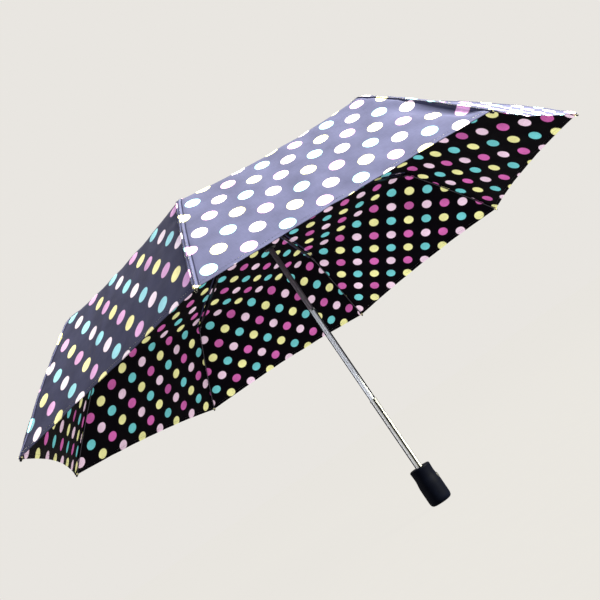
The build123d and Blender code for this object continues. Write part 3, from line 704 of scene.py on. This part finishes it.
def plastic_material(name, colour, roughness, grain, bump, gloss=0.5):
    """Moulded plastic or rubber: fine grain, worn a little paler where it is rubbed."""
    nodes = Nodes(name)
    where = nodes.place("Object")
    fine = nodes.noise(where, grain, 3)
    rubbed = nodes.spread(nodes.noise(where, RUBBED_SCALE, 4), 0.5, 0.75, 0.0, 0.5)
    paler = tuple(min(1, c * 1.8 + 0.0002) for c in colour[:3]) + (1,)
    nodes.bump(fine, bump, 0.0001)
    nodes.set(Base_Color=nodes.mix(rubbed, colour, paler), Specular_IOR_Level=gloss,
              Roughness=nodes.spread(fine, 0.3, 0.7, roughness - 0.05, roughness + 0.07))
    return nodes.material


INSIDE_DOTS = (srgb(116, 214, 222), srgb(250, 250, 176), srgb(246, 216, 242), srgb(214, 104, 184))
OUTSIDE_DOTS = (srgb(147, 208, 228), srgb(234, 230, 174), srgb(232, 218, 240), srgb(208, 160, 214))
CLOTH_MATERIALS = [
    fabric_material("cloth_outer", srgb(51, 53, 80), OUTSIDE_DOTS, 0.5, 0.05),
    fabric_material("cloth_inner", srgb(4, 2, 7), INSIDE_DOTS, 0.7, 0.03),
    thread_material("thread", srgb(12, 12, 20), srgb(40, 40, 58)),
]
SLOT_MATERIALS = {
    # Painted shade: the rubber is painted blacker than rubber, as if in the canopy's shadow, and bluer to offset
    # the warm key light
    "rubber_black": plastic_material("rubber_black", srgb(1, 2, 8), 0.6, 1500, 0.2, 0.02),
    "black_plastic": plastic_material("black_plastic", srgb(13, 13, 16), 0.4, 900, 0.15, 0.15),
    "silver_button": plastic_material("silver_button", srgb(26, 27, 32), 0.5, 1200, 0.1, 0.3),
    "spring_steel": metal_material("spring_steel", srgb(150, 150, 154), 0.3, 0.1, 0.1),
    # The last argument paints dark reflections as dark lines down the lower tube's sides
    "shaft_steel": metal_material("shaft_steel", srgb(214, 216, 220), 0.48, 0.02, 0, 0.0,
                                  (5, -66, 1.15)),
    "rib_steel": metal_material("rib_steel", srgb(96, 94, 100), 0.3, 0.2, 0.05, 0.3),
    "wire_steel": metal_material("wire_steel", srgb(74, 72, 80), 0.3, 0.2, 0.05, 0.3),
}
WIRE_WITH_CAP = end_rib_material()
# Nodes that differ from their slot: the top tube is painted darker, as painted shade under the canopy; the middle
# tube is a little greyer and rougher, with painted dark reflections down its sides; and the outer wires have caps
NODE_MATERIALS = {
    # The last argument paints dark reflections as dark lines down the middle tube's sides
    "middle_tube": metal_material("middle_tube_steel_painted_edges", srgb(196, 201, 212), 0.5, 0.02, 0, 0.1,
                                  (3, -144, 0.75)),
    # Painted shade: the top tube's steel is darker, as if in the canopy's shadow
    "top_tube": metal_material("top_tube_steel_painted_shade", srgb(112, 106, 116), 0.4, 0.02, 0, 0.2),
    **{f"end_rib_{k + 1}": WIRE_WITH_CAP for k in range(RIB_COUNT)},
}
TIE_MATERIAL = thread_material("tie_thread", srgb(206, 196, 132), srgb(238, 232, 186))


def dress_cad_nodes():
    """Each carried-over CAD node takes its own material or its slot's; the gores aren't shown."""
    for name, node in frame["nodes"].items():
        material = NODE_MATERIALS.get(name) or SLOT_MATERIALS.get(MATERIAL_SLOTS[name])
        if material:
            node.data.materials.clear()
            node.data.materials.append(material)


# ---------------------------------------------------------------- pieces
def build_canopy():
    """Six pieces of cloth for each gore, each on the link of the rib it is sewn to."""
    for gore in range(RIB_COUNT):
        for segment in SEGMENTS:
            for side in (-1, 1):
                sheet, link, keep = cloth_piece(gore, segment, side)
                rib = (gore + (1 if side > 0 else 0)) % RIB_COUNT + 1
                hand = "a" if side < 0 else "b"
                piece = mesh_object(f"cloth_{segment}_{gore + 1}{hand}", sheet, CLOTH_MATERIALS)
                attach(piece, f"{link}_{rib}")
                axis, foot = fold_axis(gore, segment, side)
                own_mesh(piece)
                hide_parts(f"canopy_gore_{gore + 1}")
                flat, area = flat_size(segment)


# Thread ties at the rib tips
TIE_TURNS, TIE_PITCH = 3.5, 0.0007
TIE_POINTS = 42
TIE_HALF_WIDTH, TIE_HALF_HEIGHT = 0.0018, 0.0023
TIE_DROP = 0.0014           # from the cloth's outer face to the middle of the tie
TIE_THREAD_RADIUS = 0.00038
TIE_FROM_RIM = 0.0045


def tie_thread(rib):
    """Thread that is wound round the outer wire and the cloth's corner, with a loose end."""
    azimuth = math.tau * rib / RIB_COUNT
    out = Vector((math.cos(azimuth), math.sin(azimuth), 0))
    across = Vector((-math.sin(azimuth), math.cos(azimuth), 0))
    (near_r, near_z), (rim_r, rim_z) = profile(RIM_AT - TIE_FROM_RIM), profile(RIM_AT)
    start = out * near_r + Vector((0, 0, near_z))
    along = (out * rim_r + Vector((0, 0, rim_z)) - start).normalized()
    normal = along.cross(across)
    middle = start - normal * TIE_DROP
    path = []
    for k in range(TIE_POINTS):
        turn = math.tau * TIE_TURNS * k / (TIE_POINTS - 1)
        path.append(middle + along * (TIE_PITCH * turn / math.tau)
                    + across * (TIE_HALF_WIDTH * math.cos(turn))
                    + normal * (TIE_HALF_HEIGHT * math.sin(turn)))
    # The loose end hangs down inside
    path.append(path[-1] - normal * 0.0016 - across * 0.0004)
    path.append(path[-1] - normal * 0.002 + across * 0.0005 + along * 0.0012)
    sheet = Sheet()
    sheet.tube(path, TIE_THREAD_RADIUS, along, slot=0)
    piece = mesh_object(f"tip_tie_{rib + 1}", sheet, [TIE_MATERIAL])
    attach(piece, f"end_rib_{rib + 1}")


# ---------------------------------------------------------------- camera, floor and light
# The view of the photograph: the camera stands low in front and is rolled.
CAMERA_PLACE = Vector((0.2023, -1.1685, 0.1451))
CAMERA_AZIMUTH = math.radians(10.13)
CAMERA_TILT = math.radians(10.0)
CAMERA_ROLL = math.radians(34.18)
LENS_MM = 48.44


def build_camera():
    data = bpy.data.cameras.new("camera")
    data.lens, data.sensor_width = LENS_MM, 36
    camera = bpy.data.objects.new("camera", data)
    turn = (Matrix.Rotation(CAMERA_AZIMUTH, 4, "Z")
            @ Matrix.Rotation(math.pi / 2 + CAMERA_TILT, 4, "X")
            @ Matrix.Rotation(-CAMERA_ROLL, 4, "Z"))
    camera.matrix_world = Matrix.Translation(CAMERA_PLACE) @ turn
    bpy.context.scene.collection.objects.link(camera)
    bpy.context.scene.camera = camera


def area_light(name, place, aim, size, energy, colour):
    """Round light, which the camera doesn't see."""
    data = bpy.data.lights.new(name, "AREA")
    data.shape, data.size, data.energy, data.color = "DISK", size, energy, colour
    light = bpy.data.objects.new(name, data)
    direction = Vector(aim) - Vector(place)
    light.matrix_world = (Matrix.Translation(place)
                          @ direction.to_track_quat("-Z", "Y").to_matrix().to_4x4())
    light.visible_camera = False
    bpy.context.scene.collection.objects.link(light)


FLOOR_SIZE, FLOOR_DROP = 40, 0.0006
BACKDROP = srgb(233, 230, 225)
WORLD_STRENGTH = 1.0
# Name, place, aim, diameter, watts and colour of each light
LIGHTS = [
    ("key_softbox", (2.3, -0.5, 1.35), (0.1, -0.25, 0.43), 0.9, 800, (1.0, 0.95, 0.68)),
    ("top_softbox", (0.2, 0.8, 2.4), (0.05, -0.2, 0.42), 1.8, 10, (1, 1, 1)),
    ("low_bounce", (-0.95, -0.2, 0.06), (0.25, 0.05, 0.45), 0.5, 7, (1, 1, 1)),
    ("front_strip", (0.5, -1.4, 0.2), (0, 0, 0.15), 0.16, 3, (1, 1, 1)),
]


def build_stage():
    """Pale floor and air, as in the photo's empty backdrop, and the lights."""
    paper = Nodes("studio_paper")
    grain = paper.noise(paper.place("Object"), 40, 2)
    glow = paper.mix(grain, srgb(232, 229, 223), srgb(233, 230, 224))
    paper.set(Base_Color=paper.mix(grain, srgb(6, 6, 6), srgb(8, 8, 8)), Roughness=1.0,
              Specular_IOR_Level=0.0, Emission_Color=glow, Emission_Strength=1.0)
    bpy.ops.mesh.primitive_plane_add(size=FLOOR_SIZE, location=(0, 0, -FLOOR_DROP))
    floor = bpy.context.object
    floor.name = "studio_floor"
    floor.data.materials.append(paper.material)
    world = bpy.data.worlds.new("studio_air")
    world.use_nodes = True
    background = world.node_tree.nodes["Background"]
    background.inputs["Color"].default_value = BACKDROP
    background.inputs["Strength"].default_value = WORLD_STRENGTH
    bpy.context.scene.world = world
    for light in LIGHTS:
        area_light(*light)


bpy.context.scene.view_settings.view_transform = "Standard"
build_camera()
build_stage()
dress_cad_nodes()
build_canopy()
for rib_number in range(RIB_COUNT):
    tie_thread(rib_number)
